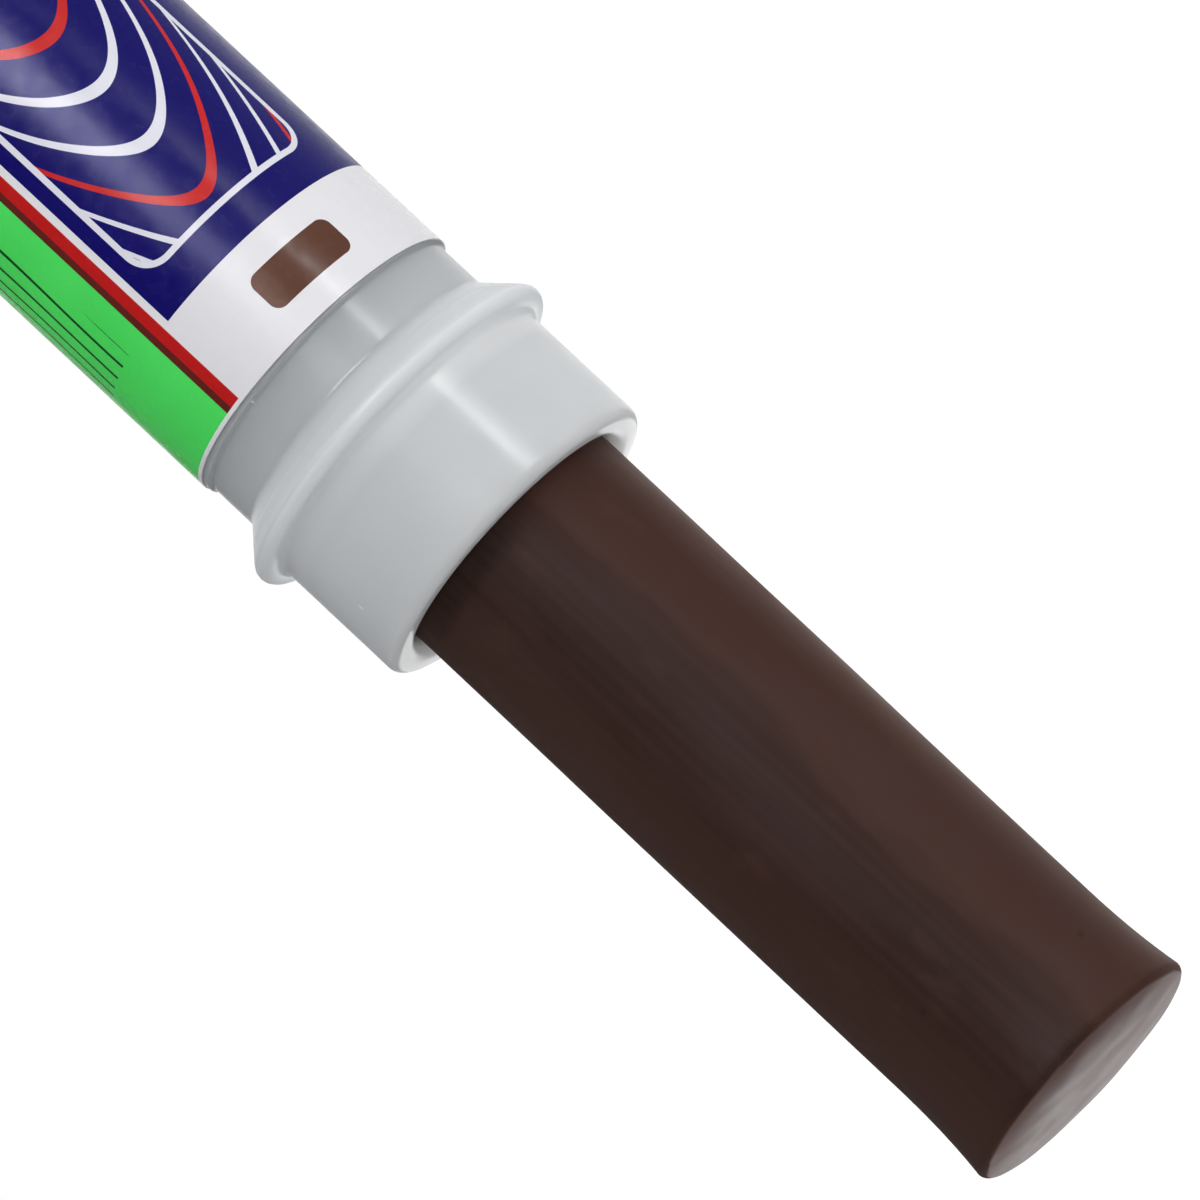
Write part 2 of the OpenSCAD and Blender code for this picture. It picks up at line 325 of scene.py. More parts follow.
def stretched_noise(tree, size, stretch=(1, 1, 1), detail=2.0, seed=0.0):
    """Noise on Object coordinates, squeezed along an axis where stretch is large."""
    place = add_node(tree, "ShaderNodeTexCoord").outputs["Object"]
    place = add_node(tree, "ShaderNodeMapping", {
        "Vector": place, "Location": (seed, seed, seed), "Scale": stretch}).outputs[0]
    return add_node(tree, "ShaderNodeTexNoise", {
        "Vector": place, "Scale": size, "Detail": detail}).outputs["Fac"]


def ranged(tree, value, low, high, out_low=0.0, out_high=1.0):
    """Maps value from low..high to out_low..out_high, and holds it there."""
    node = add_node(tree, "ShaderNodeMapRange", {
        0: value, 1: low, 2: high, 3: out_low, 4: out_high}, clamp=True)
    return node.outputs[0]


def off_axis(tree):
    """How far a point lies from the Z axis, in metres."""
    place = add_node(tree, "ShaderNodeTexCoord").outputs["Object"]
    flat = add_node(tree, "ShaderNodeVectorMath", {0: place, 1: (1, 1, 0)}, operation="MULTIPLY")
    length = add_node(tree, "ShaderNodeVectorMath", {0: flat.outputs[0]}, operation="LENGTH")
    return length.outputs["Value"]


def scattered(tree, place, cells, core, edge, share, rare):
    """Small round marks, in those cells alone whose chance number is above rare."""
    marks = add_node(tree, "ShaderNodeTexVoronoi", {"Vector": place, "Scale": cells}).outputs
    chance = add_node(tree, "ShaderNodeSeparateColor", {0: marks["Color"]}).outputs[0]
    mark = ranged(tree, marks["Distance"], core, edge, share, 0.0)
    return times(tree, mark, maths(tree, "GREATER_THAN", chance, rare))


def bumped(tree, shader, height, strength, depth):
    """Lets height shade the surface as if it stood out by depth, in mm."""
    bump = add_node(tree, "ShaderNodeBump", {
        "Height": height, "Strength": strength, "Distance": depth * MM})
    tree.links.new(bump.outputs[0], shader.inputs["Normal"])


print("finish tools ready")

# %% [markdown]
# ## Satin plastic of the barrel and knob
# The barrel is moulded in a cool grey-white plastic with a satin skin. Close up it is not one flat grey:
# the colour drifts a little, faint rub marks run round it where the cap slides on and off, and a few
# small white nicks sit by the flange. A noise for each of these goes into the colour. The broadest one
# changes the roughness as well, and a fine grain makes the bump.
# Below the flange the wall is thin and the hollow behind it is dark, so there the colour is painted
# greyer:
# painted shade. The plastic is also translucent: light creeps a few millimetres through it and softens
# every crease, which is what the Subsurface sockets are for. Light creeps farthest round the edge of the
# mouth, which gets a longer reach. The mouth's edge and the crease before the flange are also painted
# paler, as painted light, the crease greyer to the right. The flange's crest is worn dull by handling.

# %% Satin plastic
# heights in mm above the label's top edge, radii in mm from the axis
GREY_FROM, GREY_TO, GREY_END = 0.3, 5.7, 7.6
CREASE_Z, CREASE_L, CREASE_END, CREASE_TURN_X = 9.0, 0.3, 2.2, 6.0
PALE_FROM_R, PALE_TO_R, PALE_DEPTH = 10.4, 11.5, 2.0
CREEP, CREEP_AT_MOUTH = 4.0, 14.0
WORN_FROM_R, WORN_TO_R, WORN_ROUGHNESS = 13.2, 14.0, 0.2

# the grey of the neck is painted shade; the crease and mouth colours are painted light
PLASTIC, PLASTIC_PALE, PLASTIC_SHADE_GREY = ink(199, 203, 206), ink(205, 208, 211), ink(166, 170, 173)
CREASE_LIT_LEFT, CREASE_LIT_RIGHT, MOUTH_LIT_WHITE = ink(234, 236, 238), ink(217, 220, 222), ink(246, 246, 246)
RUB_GREY, NICK_WHITE = ink(214, 217, 218), ink(245, 246, 247)


def satin_plastic():
    finish, tree, shader = new_finish("satin_grey_plastic", roughness=0.22, specular=0.1)
    shader.inputs["Subsurface Weight"].default_value = 0.9
    shader.inputs["Subsurface Radius"].default_value = (1.0, 1.0, 1.0)
    cloud = stretched_noise(tree, 70, detail=3.0)
    rubs = stretched_noise(tree, 500, stretch=(0.35, 0.35, 4), detail=4.0, seed=1.0)
    grain = stretched_noise(tree, 4500, detail=2.0, seed=2.0)
    place = add_node(tree, "ShaderNodeTexCoord").outputs["Object"]
    slim = add_node(tree, "ShaderNodeMapping", {"Vector": place, "Scale": (1, 1, 0.4)}).outputs[0]
    nicks = scattered(tree, slim, cells=900.0, core=0.05, edge=0.12, share=0.8, rare=0.96)

    # painted shade on the thin wall of the neck and the flange's back, where the dark hollow shows
    # through
    spot = add_node(tree, "ShaderNodeSeparateXYZ", {0: place}).outputs
    height, radius = spot["Z"], off_axis(tree)
    neck_shade = ranged(tree, height, (label_top + GREY_FROM) * MM, (label_top + GREY_TO) * MM, 0.85, 0.28)
    behind_crest = maths(tree, "LESS_THAN", height, (label_top + GREY_END) * MM)
    neck_shade = times(tree, neck_shade, behind_crest)

    # painted light in the crease between crest and collar, fading out on the crest itself and greyer to
    # the right
    from_crease = maths(tree, "ABSOLUTE", maths(tree, "SUBTRACT", height, (label_top + CREASE_Z) * MM))
    crease_light = ranged(tree, from_crease, CREASE_L * MM, CREASE_END * MM, 0.8, 0.0)
    crease_light = times(tree, crease_light, maths(tree, "SUBTRACT", 1.0, behind_crest))
    off_crest = ranged(tree, radius, WORN_FROM_R * MM, WORN_TO_R * MM, 1.0, 0.1)
    crease_light = times(tree, crease_light, off_crest)
    to_right = ranged(tree, spot["X"], -CREASE_TURN_X * MM, CREASE_TURN_X * MM)

    # painted light on the mouth's round edge, and the worn crest
    mouth_light = ranged(tree, radius, PALE_FROM_R * MM, PALE_TO_R * MM, 1.0, 0.0)
    at_mouth = maths(tree, "GREATER_THAN", height, (rim_z - PALE_DEPTH) * MM)
    mouth_light = times(tree, mouth_light, at_mouth)
    creep = ranged(tree, height, (rim_z - PALE_DEPTH) * MM, rim_z * MM, CREEP * MM, CREEP_AT_MOUTH * MM)
    worn = ranged(tree, radius, WORN_FROM_R * MM, WORN_TO_R * MM, 0.0, WORN_ROUGHNESS)
    worn = times(tree, worn, maths(tree, "GREATER_THAN", height, label_top * MM))

    colour = mixed(tree, ranged(tree, cloud, 0.35, 0.65), PLASTIC, PLASTIC_PALE)
    colour = mixed(tree, neck_shade, colour, PLASTIC_SHADE_GREY)
    colour = mixed(tree, crease_light, colour, mixed(tree, to_right, CREASE_LIT_LEFT, CREASE_LIT_RIGHT))
    colour = mixed(tree, mouth_light, colour, MOUTH_LIT_WHITE)
    colour = mixed(tree, ranged(tree, rubs, 0.6, 0.8, 0.0, 0.06), colour, RUB_GREY)
    colour = mixed(tree, nicks, colour, NICK_WHITE)
    roughness = maths(tree, "ADD", worn, ranged(tree, cloud, 0.3, 0.7, 0.20, 0.24))
    tree.links.new(colour, shader.inputs["Base Color"])
    tree.links.new(roughness, shader.inputs["Roughness"])
    tree.links.new(creep, shader.inputs["Subsurface Scale"])
    bumped(tree, shader, grain, strength=0.03, depth=0.03)
    return finish


barrel_finish = satin_plastic()
print(barrel_finish.name, len(barrel_finish.node_tree.nodes), "nodes")

# %% [markdown]
# ## The barrel
# One moulding makes the tube, the bare neck, the flange with its sloping back, the collar that takes
# the cap, and the lip that keeps the wax cup in. Its cross-section is a closed loop of fifteen corners.
# The three guide ribs inside stop the cup from turning with the screw; they are a ring of one rounded
# bar. Each bar reaches only a hair into the wall: a deeper foot would show through the translucent neck.
# Last, the points of the flange are moved up on one side and down on the other, so that it sits a hair
# askew, as a moulding does that has cooled unevenly.

# %% A rounded bar for ribs
RIB_ACROSS = 8
ROUND_END, END_STEP_SHARE, END_HEIGHT_SHARES = 0.3, 0.3, (0.55, 0.9)


def rib_bar(name, width, height, sink, low, high, facing=1):
    """A bar along Z with softened ends and a rounded top that faces +X, or -X if facing is -1."""
    lap = np.linspace(0, math.pi, RIB_ACROSS)
    steps = (0.0, ROUND_END * END_STEP_SHARE, ROUND_END)
    levels = [low + step for step in steps] + [high - step for step in reversed(steps)]
    shares = [*END_HEIGHT_SHARES, 1.0, 1.0, *reversed(END_HEIGHT_SHARES)]
    verts, faces = [], []
    for z, share in zip(levels, shares):
        verts += [(height * share * math.sin(a), -width / 2 * math.cos(a), z) for a in lap]
        verts += [(-sink, width / 2, z), (-sink, -width / 2, z)]
    ring = RIB_ACROSS + 2
    for row in range(len(levels) - 1):
        for k in range(ring):
            a, b = row * ring + k, row * ring + (k + 1) % ring
            faces.append((a, b, b + ring, a + ring))
    last = (len(levels) - 1) * ring
    faces.append(tuple(reversed(range(ring))))
    faces.append(tuple(range(last, last + ring)))
    bar = mesh_object(name, [(facing * x * MM, facing * y * MM, z * MM) for x, y, z in verts], faces)
    print(f"{name}: {volume_cm3(bar.data):.5f} cm3")
    return bar


# %% Barrel outline
BORE_R, TUBE_R, NECK_R, COLLAR_R, MOUTH_R, WEB_HOLE_R = 11.3, 12.4, 12.15, 13.0, 10.2, 3.08
COLLAR_L, CREST_R, FLANGE_SLOPE, LIP_T, MOUTH_EDGE = 11.4, 0.8, math.radians(41.5), 1.6, 1.28
WEB_Z, WEB_TOP, SHOULDER_L = 15.7, 17.7, 0.3

flange_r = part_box("barrel")[1].x / MM
collar_z, lip_z = rim_z - COLLAR_L, rim_z - LIP_T
shoulder_z = label_top + SHOULDER_L

# the sloping back touches the rounded crest, and runs down to the neck and up to the crest's corner
touch_r = flange_r - CREST_R + CREST_R * math.cos(FLANGE_SLOPE)
touch_z = collar_z - CREST_R - CREST_R * math.sin(FLANGE_SLOPE)
flange_z = touch_z - (touch_r - NECK_R) / math.tan(FLANGE_SLOPE)
crest_corner_r = touch_r + (collar_z - touch_z) * math.tan(FLANGE_SLOPE)

barrel_corners = [
    (TUBE_R, foot_z, 0.3), (TUBE_R, shoulder_z, 0.12), (NECK_R, shoulder_z + TUBE_R - NECK_R, 0.25),
    (NECK_R, flange_z, 0.5), (crest_corner_r, collar_z, CREST_R), (COLLAR_R, collar_z, 0.65),
    (COLLAR_R, rim_z, 0.8), (MOUTH_R, rim_z, MOUTH_EDGE), (MOUTH_R, lip_z, 0.1), (BORE_R, lip_z, 0.1),
    (BORE_R, WEB_TOP, 0.25), (WEB_HOLE_R, WEB_TOP, 0.1), (WEB_HOLE_R, WEB_Z, 0.1), (BORE_R, WEB_Z, 0.2),
    (BORE_R, foot_z, 0.15)]
barrel_points = turned_outline(barrel_corners, closed=True)
print(f"barrel: {len(barrel_points)} points, collar from {collar_z:.2f} to {rim_z:.2f} mm")

# %% Barrel
GUIDE_RIB_H, GUIDE_RIB_W, GUIDE_RIB_SINK, GUIDE_RIB_LAP, GUIDE_RIBS = 0.4, 1.6, 0.03, 0.2, 3

guide_rib = rib_bar("guide_rib", GUIDE_RIB_W, GUIDE_RIB_H, GUIDE_RIB_SINK, WEB_TOP - GUIDE_RIB_LAP,
                    lip_z + GUIDE_RIB_LAP, facing=-1)
barrel = turned_piece("barrel_moulding", barrel_points, barrel_finish, steps=180, wander=0.02, scale=90,
                      rib=guide_rib, rib_count=GUIDE_RIBS, rib_radius=BORE_R)

# %% The flange sits a hair askew
FLANGE_TILT, TILT_REACH = 0.13, 3.4

for vertex in barrel.data.vertices:
    x, y, z = vertex.co / MM
    if math.hypot(x, y) > BORE_R + GUIDE_RIB_H:
        share = max(0.0, 1 - (abs(z - collar_z + CREST_R) / TILT_REACH) ** 2)
        vertex.co.z -= FLANGE_TILT * share * x / flange_r * MM
print(f"flange tilted by {FLANGE_TILT} mm at its rim")

# %% [markdown]
# ## The knob
# The photo stops short of the barrel's foot, so the knob is the usual one for such a stick: a ribbed
# dial as wide as the barrel, with a plain ring above and below the ribs and a spigot that turns in the
# barrel. Forty ribs are too many to place by hand; the ring of instances in the lathe tree sets them
# out.

# %% Knob
KNOB_R, KNOB_H, GRIP_ROOT_R, RING_L, GRIP_RIBS = 12.4, 12.0, 11.9, 1.6, 40
GRIP_RIB_H, GRIP_RIB_W, GRIP_RIB_SINK, GRIP_RIB_LAP = 0.42, 1.05, 0.25, 0.1
RECESS_D, RECESS_R, BASE_TOP = 0.6, 9.0, 2.4
SPIGOT_R, SPIGOT_IN_R, BOSS_R, BOSS_TOP, TAIL_HOLE_R, TAIL_HOLE_Z = 11.2, 9.9, 4.95, 15.4, 2.76, 5.1

knob_corners = [
    (0, RECESS_D, 0), (RECESS_R, RECESS_D, 0.2), (RECESS_R + RECESS_D, 0, 0.2), (KNOB_R, 0, 0.5),
    (KNOB_R, RING_L, 0.15), (GRIP_ROOT_R, RING_L, 0.15), (GRIP_ROOT_R, KNOB_H - RING_L, 0.15),
    (KNOB_R, KNOB_H - RING_L, 0.15), (KNOB_R, KNOB_H, 0.35), (SPIGOT_R, KNOB_H, 0.15),
    (SPIGOT_R, BOSS_TOP, 0.25), (SPIGOT_IN_R, BOSS_TOP, 0.15), (SPIGOT_IN_R, BASE_TOP, 0.4),
    (BOSS_R, BASE_TOP, 0.3), (BOSS_R, BOSS_TOP, 0.2), (TAIL_HOLE_R, BOSS_TOP, 0.15),
    (TAIL_HOLE_R, TAIL_HOLE_Z, 0.1), (0, TAIL_HOLE_Z, 0)]
grip_rib = rib_bar("grip_rib", GRIP_RIB_W, GRIP_RIB_H, GRIP_RIB_SINK, RING_L - GRIP_RIB_LAP,
                   KNOB_H - RING_L + GRIP_RIB_LAP)
knob = turned_piece("grip_knob", turned_outline(knob_corners, closed=False), barrel_finish, steps=160,
                    wander=0.01, scale=90, rib=grip_rib, rib_count=GRIP_RIBS, rib_radius=GRIP_ROOT_R)

# %% [markdown]
# ## Wax finish
# The filler is a dark brown wax with a low sheen. Faint lengthwise streaks run down it from the mould
# and from the barrel's lip, a grey bloom lies on it in patches, and there are small pits and scuffs. The
# left side is painted paler, as painted light, and that patch ends along a ragged line down the
# front, with a strip of painted shade beside it. Both flanks are painted a little paler too: painted
# sheen on the left, painted light on the right. At the mouth a dark ring is painted shadow from the lip.
# Streaks come from a noise that is squeezed hard across the stick and hardly at all along it; patch,
# strip and flanks come from the angle round the axis.

# %% Wax
# angles round the axis in radians, from the front to the right; heights in mm above the mouth
# angles of the painted light on the left side, of its ragged edge and of the painted shade strip beside
# it
LIT_START, LIT_FULL, LIT_FADE = -2.2, -1.6, (-1.3, -0.8)
LIT_EDGE, EDGE_BEFORE, EDGE_AFTER = -0.12, 0.04, 0.05
STRIP_L, STRIP_FALL = 0.25, (0.35, 0.75)
LEFT_RISE, LEFT_FALL = (-2.6, -1.9), (-1.45, -0.85)
RIGHT_RISE, RIGHT_FALL = (0.5, 1.1), (1.7, 2.4)
RING_FULL, RING_END, RING_RISE, RING_FALL = 1.2, 2.2, (-0.15, 0.05), (0.7, 1.2)

# the lit side, the strip beside it, the flanks and the ring at the mouth are painted light, sheen, shade
# and shadow
WAX, WAX_WARM, WAX_LIT, WAX_SHADE = ink(55, 37, 32), ink(60, 41, 36), ink(69, 46, 40), ink(44, 29, 25)
LEFT_FLANK_SHEEN, RIGHT_FLANK_LIGHT, BLOOM_GREY = ink(112, 90, 82), ink(72, 52, 45), ink(70, 54, 52)
RING_SHADOW, STREAK_BROWN = ink(43, 32, 27), ink(68, 47, 41)
SCUFF_BROWN, PIT_BROWN = ink(78, 55, 49), ink(36, 23, 19)


def filler_wax():
    finish, tree, shader = new_finish("brown_filler_wax", roughness=0.5, specular=0.03)
    cloud = stretched_noise(tree, 110, stretch=(1, 1, 0.35), detail=3.0)
    streaks = stretched_noise(tree, 1500, stretch=(1, 1, 0.02), detail=3.0, seed=3.0)
    scuffs = stretched_noise(tree, 320, stretch=(1, 1, 0.5), detail=5.0, seed=4.0)
    bloom = stretched_noise(tree, 190, stretch=(1, 1, 0.3), detail=6.0, seed=16.0)
    grain = stretched_noise(tree, 5200, detail=2.0, seed=5.0)
    place = add_node(tree, "ShaderNodeTexCoord").outputs["Object"]
    pits = scattered(tree, place, cells=420.0, core=0.05, edge=0.16, share=1.0, rare=0.94)

    # painted light on the left side: an angle round the axis, with a ragged edge
    spot = add_node(tree, "ShaderNodeSeparateXYZ", {0: place}).outputs
    round_axis = maths(tree, "ARCTAN2", spot["X"], times(tree, spot["Y"], -1.0))
    ragged = maths(tree, "MULTIPLY_ADD", cloud, 0.5, round_axis)
    ragged = maths(tree, "MULTIPLY_ADD", maths(tree, "SUBTRACT", bloom, 0.5), 0.7, ragged)
    lit_side = times(tree, ranged(tree, ragged, LIT_EDGE - EDGE_BEFORE, LIT_EDGE + EDGE_AFTER, 1.0, 0.0),
                   ranged(tree, round_axis, LIT_START, LIT_FULL, 0.0, 0.8))
    lit_side = times(tree, lit_side, ranged(tree, round_axis, *LIT_FADE, 0.4, 1.0))

    # painted shade: a darker strip beside the painted light
    shade_strip = times(tree, ranged(tree, ragged, LIT_EDGE, LIT_EDGE + STRIP_L),
                  ranged(tree, round_axis, *STRIP_FALL, 0.55, 0.0))

    # painted sheen on the left flank and painted light on the right flank
    left_flank = times(tree, ranged(tree, round_axis, *LEFT_RISE),
                       ranged(tree, round_axis, *LEFT_FALL, 0.9, 0.0))
    right_flank = times(tree, ranged(tree, round_axis, *RIGHT_RISE),
                        ranged(tree, round_axis, *RIGHT_FALL, 0.7, 0.0))

    # painted shadow: a dark ring at the mouth, where the lip shades the wax, on the side away from the
    # painted light
    ring = ranged(tree, spot["Z"], (rim_z + RING_FULL) * MM, (rim_z + RING_END) * MM, 0.9, 0.0)
    ring = times(tree, ring, ranged(tree, round_axis, *RING_RISE))
    ring = times(tree, ring, ranged(tree, round_axis, *RING_FALL, 1.0, 0.3))

    colour = mixed(tree, ranged(tree, cloud, 0.35, 0.68), WAX, WAX_WARM)
    colour = mixed(tree, left_flank, colour, LEFT_FLANK_SHEEN)
    colour = mixed(tree, right_flank, colour, RIGHT_FLANK_LIGHT)
    colour = mixed(tree, lit_side, colour, WAX_LIT)
    colour = mixed(tree, shade_strip, colour, WAX_SHADE)
    colour = mixed(tree, ranged(tree, bloom, 0.44, 0.72, 0.0, 0.3), colour, BLOOM_GREY)
    colour = mixed(tree, ring, colour, RING_SHADOW)
    colour = mixed(tree, ranged(tree, streaks, 0.42, 0.72, 0.0, 0.35), colour, STREAK_BROWN)
    colour = mixed(tree, ranged(tree, scuffs, 0.60, 0.78, 0.0, 0.4), colour, SCUFF_BROWN)
    colour = mixed(tree, times(tree, pits, 0.35), colour, PIT_BROWN)
    tree.links.new(colour, shader.inputs["Base Color"])
    tree.links.new(ranged(tree, scuffs, 0.3, 0.75, 0.42, 0.6), shader.inputs["Roughness"])
    relief = maths(tree, "MULTIPLY_ADD", streaks, 1.2, grain)
    relief = maths(tree, "SUBTRACT", relief, times(tree, pits, 3.0))
    bumped(tree, shader, relief, strength=0.12, depth=0.04)
    return finish


wax_finish = filler_wax()
print(wax_finish.name, len(wax_finish.node_tree.nodes), "nodes")

# %% [markdown]
# ## Pressed end face
# The end face has been pressed and wiped, so it gets a smoother finish of its own, with a few faint
# smears. It is seen almost edge-on, where any surface mirrors strongly; a sheen that fades from the
# middle outwards keeps its rim from glaring.

# %% Pressed wax
SHEEN_FROM_R, SHEEN_TO_R, SHEEN_MIDDLE, SHEEN_RIM = 1.5, 9.5, 0.38, 0.1
SHEEN_TINT = (1.0, 0.88, 0.86, 1.0)
FACE_BROWN, FACE_WARM, SMEAR_BROWN = ink(72, 44, 37), ink(80, 49, 42), ink(94, 64, 57)


def pressed_wax():
    finish, tree, shader = new_finish("pressed_wax_face", roughness=0.38, specular=0.37)
    shader.inputs["Specular Tint"].default_value = SHEEN_TINT
    cloud = stretched_noise(tree, 160, detail=2.0, seed=13.0)
    smears = stretched_noise(tree, 420, stretch=(1.0, 0.25, 1.0), detail=3.0, seed=14.0)
    grain = stretched_noise(tree, 5200, detail=2.0, seed=15.0)
    colour = mixed(tree, ranged(tree, cloud, 0.35, 0.68), FACE_BROWN, FACE_WARM)
    colour = mixed(tree, ranged(tree, smears, 0.5, 0.75, 0.0, 0.5), colour, SMEAR_BROWN)
    tree.links.new(colour, shader.inputs["Base Color"])
    tree.links.new(ranged(tree, smears, 0.3, 0.7, 0.36, 0.4), shader.inputs["Roughness"])
    sheen = ranged(tree, off_axis(tree), SHEEN_FROM_R * MM, SHEEN_TO_R * MM, SHEEN_MIDDLE, SHEEN_RIM)
    tree.links.new(sheen, shader.inputs["Specular IOR Level"])
    bumped(tree, shader, maths(tree, "MULTIPLY_ADD", smears, 0.6, grain), strength=0.03, depth=0.03)
    return finish


face_finish = pressed_wax()
print(face_finish.name, len(face_finish.node_tree.nodes), "nodes")

# %% [markdown]
# ## The wax stick
# The stick is cast in one piece, so the lathe makes it too: a foot that sits in the cup, a straight
# side, and a tip that widens where it has been pressed. A lathe shape is too perfect for wax, though. So
# its points are then pushed about: the stick leans a hair off centre in the mouth, swells slightly
# towards the tip, and slow noise makes the side and the end face a little uneven.

# %% Wax outline
STICK_R, FLARE, FLARE_L, FLARE_POWER = 10.0, 0.55, 9.0, 2.3
TIP_EDGE, TIP_CROWN, CROWN_POWER = 0.7, 0.42, 4
CORE_R, CORE_L, CUP_H, BEAD_H, BEAD_SHARE, FOOT_EDGE = 3.5, 55.2, 8.0, 0.35, 0.75, 0.5
SIDE_STEP, FLARE_STEPS, EDGE_STEPS, FACE_STEPS = 0.7, 22, 7, 14

seat_z, tip_z = (corner.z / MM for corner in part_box("wax_stick"))
edge_z = tip_z - TIP_CROWN - TIP_EDGE
flare_z = edge_z - FLARE_L
rim_of_tip = STICK_R + FLARE - TIP_EDGE
bead_z = seat_z + BEAD_SHARE * CUP_H

foot_part = [(0, seat_z + CORE_L), (CORE_R, seat_z + CORE_L), (CORE_R, seat_z + CORE_L / 2),
             (CORE_R, seat_z), (STICK_R - FOOT_EDGE, seat_z), (STICK_R, seat_z + FOOT_EDGE),
             (STICK_R, bead_z - BEAD_H), (STICK_R - BEAD_H, bead_z), (STICK_R, bead_z + BEAD_H)]
side_part = [(STICK_R, z) for z in np.arange(seat_z + CUP_H, flare_z, SIDE_STEP)]
flare_part = [(STICK_R + FLARE * t ** FLARE_POWER, flare_z + FLARE_L * t)
              for t in np.linspace(0, 1, FLARE_STEPS)]
edge_part = [(rim_of_tip + TIP_EDGE * math.cos(a), edge_z + TIP_EDGE * math.sin(a))
             for a in np.linspace(0, math.pi / 2, EDGE_STEPS)[1:]]
face_part = [(rim_of_tip * (1 - t), tip_z - TIP_CROWN * (1 - t) ** CROWN_POWER)
             for t in np.linspace(0, 1, FACE_STEPS)[1:]]
wax_points = [np.array(p) for p in foot_part + side_part + flare_part + edge_part + face_part]
print(f"wax: {len(wax_points)} points, {tip_z - rim_z:.1f} mm stands out of the mouth")

# %% Wax stick
LEAN_AT_MOUTH, LEAN_AT_TIP, SWELL, SIDE_UNEVEN, FACE_UNEVEN = -0.1, 0.05, 0.02, 0.04, 0.05
IN_CUP, CORE_SKIN, TIP_L, EASE_L, ON_AXIS = 0.2, 0.01, 3.0, 4.0, 1e-6
SLOW, SLOW_ALONG = 0.13, 0.035
QUICK, QUICK_ALONG, QUICK_FROM, QUICK_SHARE = 0.4, 0.08, 40.0, 0.5
FACE_CELLS, FACE_LEVEL, FACE_SINK = 0.35, 7.0, 0.6
FACE_SHARE = 0.85

wax = turned_piece("wax_filler", wax_points, wax_finish, steps=200, wander=0.0, scale=50)


def pushed(spot):
    """One point of the stick, in mm, after handling. The foot and the hollow core stay as they are."""
    x, y, z = spot
    r = math.hypot(x, y)
    if z < seat_z + CUP_H + IN_CUP or r < CORE_R + CORE_SKIN and z < tip_z - TIP_L:
        return spot
    out_x, out_y = (x / r, y / r) if r > ON_AXIS else (0.0, 0.0)
    along = min(1.0, max(0.0, (z - rim_z) / (tip_z - rim_z)))
    ease = min(1.0, (z - seat_z - CUP_H) / EASE_L)
    lean = ease * (LEAN_AT_MOUTH + (LEAN_AT_TIP - LEAN_AT_MOUTH) * along)
    slow = noise.noise(Vector((x * SLOW, y * SLOW, z * SLOW_ALONG)))
    quick = noise.noise(Vector((x * QUICK, y * QUICK, z * QUICK_ALONG + QUICK_FROM)))
    grow = ease * SIDE_UNEVEN * (slow + QUICK_SHARE * quick) + SWELL * along ** 2
    grow *= min(1.0, r / STICK_R)
    face = min(1.0, max(0.0, (z - edge_z) / TIP_EDGE))
    dents = noise.noise(Vector((x * FACE_CELLS, y * FACE_CELLS, FACE_LEVEL))) - FACE_SINK
    return x + grow * out_x + lean, y + grow * out_y, z + face * FACE_UNEVEN * dents


for vertex in wax.data.vertices:
    vertex.co = Vector(pushed(vertex.co / MM)) * MM
wax.data.set_sharp_from_angle(angle=EDGE_ANGLE)
wax.data.materials.append(face_finish)
for polygon in wax.data.polygons:
    if polygon.center.z > (edge_z + FACE_SHARE * TIP_EDGE) * MM:
        polygon.material_index = 1
print(f"wax after handling: {volume_cm3(wax.data):.2f} cm3")

# %% [markdown]
# ## The printed label
# The label is one sheet of paper with a glossy film, wrapped once round the barrel with its end lapped
# over its start at the back. It is built flat, as rows and columns along the sheet, and then rolled: the
# lapped end climbs by one thickness. A UV map keeps each point's place on the flat sheet, in units of
# 100 mm, so the print can be laid out as on a drawing board: across from the front line, and down from
# the label's top edge.

# %% Print on the label
# places on the sheet in mm: across from the front line, and down from the top edge
SHEET_UNIT, FRONT_LINE = 100.0, 0.5
ARCH_X, ARCH_PITCH, ARCH_DRIFT, ARCH_LINE_SHARE, RED_EVERY = -3.6, 5.2, 1.1, 0.2, 3.0
WINDOW_AT, WINDOW_W, WINDOW_L, WINDOW_ROUND, FRAME_T = (-4.6, 33.0), 17.0, 43.0, 2.0, 0.5
GRAIN_PITCH, GRAIN_DRIFT, GRAIN_LINE_SHARE = 1.7, 2.2, 0.17
FIELD_ACROSS, FIELD_DOWN = (10.4, 37.0), (9.0, 56.0)
CHIP_AT, CHIP_SIZE, CHIP_ROUND = (-4.5, 3.95), (8.0, 3.4), 0.9
BAND_L, TOP_LINE, GREEN_FROM = 8.05, 0.33, 7.95

BLUE, BLUE_PALE = ink(13, 8, 95), ink(19, 13, 102)
GREEN, GREEN_PALE = ink(66, 214, 88), ink(80, 228, 100)
LABEL_WHITE, LINE_WHITE, LINE_RED = ink(228, 227, 231), ink(222, 222, 232), ink(196, 40, 38)
GRAIN_DARK, CHIP_BROWN = ink(20, 62, 30), ink(92, 58, 44)
STRIPES = ((5.65, LABEL_WHITE), (6.31, ink(188, 28, 28)), (7.34, ink(96, 34, 30)))


def between(tree, value, low, high):
    """1 where value lies between low and high, else 0."""
    return times(tree, maths(tree, "GREATER_THAN", value, low), maths(tree, "LESS_THAN", value, high))


def rounded_box(tree, across, down, centre, size, rounding):
    """1 inside a box with rounded corners, else 0."""
    past = []
    for value, middle, length in zip((across, down), centre, size):
        far = maths(tree, "ABSOLUTE", maths(tree, "SUBTRACT", value, middle))
        past.append(maths(tree, "MAXIMUM", maths(tree, "SUBTRACT", far, length / 2 - rounding), 0.0))
    reach = maths(tree, "MULTIPLY_ADD", past[0], past[0], times(tree, past[1], past[1]))
    return maths(tree, "LESS_THAN", reach, rounding * rounding)


